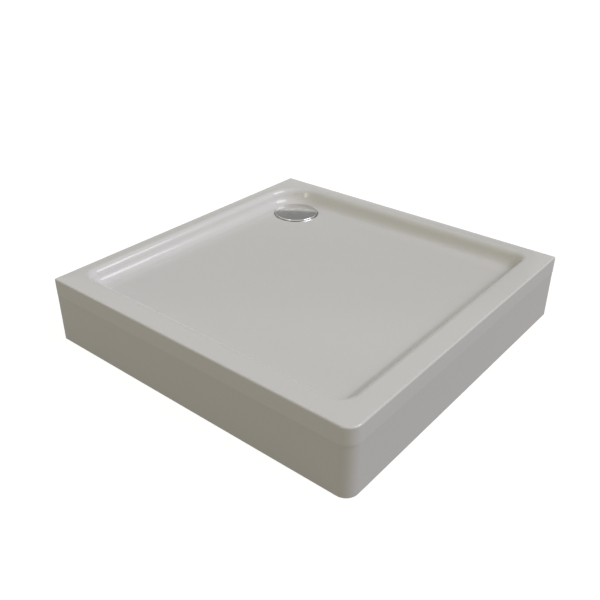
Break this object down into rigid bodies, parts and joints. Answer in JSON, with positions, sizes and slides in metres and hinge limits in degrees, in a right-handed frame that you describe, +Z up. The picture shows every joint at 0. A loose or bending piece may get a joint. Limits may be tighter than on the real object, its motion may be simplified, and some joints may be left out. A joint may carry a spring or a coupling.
{
  "type": "shower tray",
  "caption": "Square raised corner shower tray with a shallow falling bowl, corner waste and trap, levelling feet and a removable apron.",
  "frame": {"origin": "centre of the tray's plan, on the floor under the feet", "axes": "+Z up; the walls stand at -X and +Y, the open sides face +X and -Y; the waste is in the corner at -X, +Y"},
  "size_m": [0.8, 0.8, 0.157],
  "materials": {
    "white_acrylic": "glossy white sanitary acrylic",
    "white_acrylic_apron": "glossy white acrylic sheet",
    "chrome_cover": "polished chrome",
    "steel_flange": "stainless steel",
    "board": "pressed board under resin",
    "timber": "planed softwood",
    "galvanised_steel": "galvanised sheet",
    "zinc": "zinc plated",
    "spring_steel": "spring steel strip",
    "black_rubber": "soft black rubber",
    "grey_plastic": "moulded polypropylene",
    "dark_plastic": "moulded black plastic",
    "pale_plastic": "moulded white plastic"
  },
  "bodies": {
    "tray": {"tray_shell": "white_acrylic", "base_board": "board", "foot_bracket_front": "galvanised_steel", "foot_bracket_left": "galvanised_steel", "foot_bracket_right": "galvanised_steel", "foot_bracket_waste_left": "galvanised_steel", "foot_bracket_waste_right": "galvanised_steel", "foot_lock_nuts": "zinc", "bracket_screws": "zinc", "front_batten": "timber", "side_batten": "timber", "panel_clip_1": "spring_steel", "panel_clip_2": "spring_steel", "panel_clip_3": "spring_steel", "panel_clip_4": "spring_steel", "clip_screws": "zinc", "waste_flange": "steel_flange", "flange_gasket": "black_rubber", "trap_gasket": "black_rubber", "trap_body": "grey_plastic", "trap_base": "grey_plastic", "outlet_branch": "grey_plastic", "outlet_seal": "black_rubber", "outlet_nut": "dark_plastic"},
    "apron": {"apron_panel": "white_acrylic_apron"},
    "outlet": {"outlet_pipe": "grey_plastic"},
    "insert": {"trap_insert": "pale_plastic", "dip_tube": "pale_plastic", "insert_seal": "black_rubber"},
    "cover": {"waste_cover": "chrome_cover", "cover_legs": "pale_plastic"},
    "front_pad": {"foot_pad_front": "dark_plastic"},
    "front_spindle": {"foot_spindle_front": "zinc"},
    "left_pad": {"foot_pad_left": "dark_plastic"},
    "left_spindle": {"foot_spindle_left": "zinc"},
    "right_pad": {"foot_pad_right": "dark_plastic"},
    "right_spindle": {"foot_spindle_right": "zinc"},
    "waste_left_pad": {"foot_pad_waste_left": "dark_plastic"},
    "waste_left_spindle": {"foot_spindle_waste_left": "zinc"},
    "waste_right_pad": {"foot_pad_waste_right": "dark_plastic"},
    "waste_right_spindle": {"foot_spindle_waste_right": "zinc"}
  },
  "joints": [
    {"name": "apron_pull", "type": "slide", "parent": "tray", "child": "apron", "axis": [0.7071, -0.7071, 0], "range_m": [0, 0.12]},
    {"name": "outlet_swivel", "type": "hinge", "parent": "tray", "child": "outlet", "pos_m": [-0.21136, 0.21136, 0.064], "axis": [0, 0, 1], "range_deg": [-12, 12]},
    {"name": "insert_lift", "type": "slide", "parent": "tray", "child": "insert", "axis": [0, 0, 1], "range_m": [0, 0.12]},
    {"name": "cover_lift", "type": "slide", "parent": "insert", "child": "cover", "axis": [0, 0, 1], "range_m": [0, 0.05]},
    {"name": "front_foot_height", "type": "slide", "parent": "tray", "child": "front_pad", "axis": [0, 0, 1], "range_m": [-0.014, 0.006]},
    {"name": "front_foot_turn", "type": "hinge", "parent": "front_pad", "child": "front_spindle", "pos_m": [0.265, -0.265, 0.02], "axis": [0, 0, 1], "range_deg": [-3361, 1441]},
    {"name": "left_foot_height", "type": "slide", "parent": "tray", "child": "left_pad", "axis": [0, 0, 1], "range_m": [-0.014, 0.006]},
    {"name": "left_foot_turn", "type": "hinge", "parent": "left_pad", "child": "left_spindle", "pos_m": [-0.285, -0.265, 0.02], "axis": [0, 0, 1], "range_deg": [-3361, 1441]},
    {"name": "right_foot_height", "type": "slide", "parent": "tray", "child": "right_pad", "axis": [0, 0, 1], "range_m": [-0.014, 0.006]},
    {"name": "right_foot_turn", "type": "hinge", "parent": "right_pad", "child": "right_spindle", "pos_m": [0.265, 0.285, 0.02], "axis": [0, 0, 1], "range_deg": [-3361, 1441]},
    {"name": "waste_left_foot_height", "type": "slide", "parent": "tray", "child": "waste_left_pad", "axis": [0, 0, 1], "range_m": [-0.014, 0.006]},
    {"name": "waste_left_foot_turn", "type": "hinge", "parent": "waste_left_pad", "child": "waste_left_spindle", "pos_m": [-0.285, 0.125, 0.02], "axis": [0, 0, 1], "range_deg": [-3361, 1441]},
    {"name": "waste_right_foot_height", "type": "slide", "parent": "tray", "child": "waste_right_pad", "axis": [0, 0, 1], "range_m": [-0.014, 0.006]},
    {"name": "waste_right_foot_turn", "type": "hinge", "parent": "waste_right_pad", "child": "waste_right_spindle", "pos_m": [-0.125, 0.285, 0.02], "axis": [0, 0, 1], "range_deg": [-3361, 1441]}
  ],
  "couplings": [
    {"joint": "front_foot_turn", "follows": "front_foot_height", "rad_per_m": 4188.8},
    {"joint": "left_foot_turn", "follows": "left_foot_height", "rad_per_m": 4188.8},
    {"joint": "right_foot_turn", "follows": "right_foot_height", "rad_per_m": 4188.8},
    {"joint": "waste_left_foot_turn", "follows": "waste_left_foot_height", "rad_per_m": 4188.8},
    {"joint": "waste_right_foot_turn", "follows": "waste_right_foot_height", "rad_per_m": 4188.8}
  ]
}
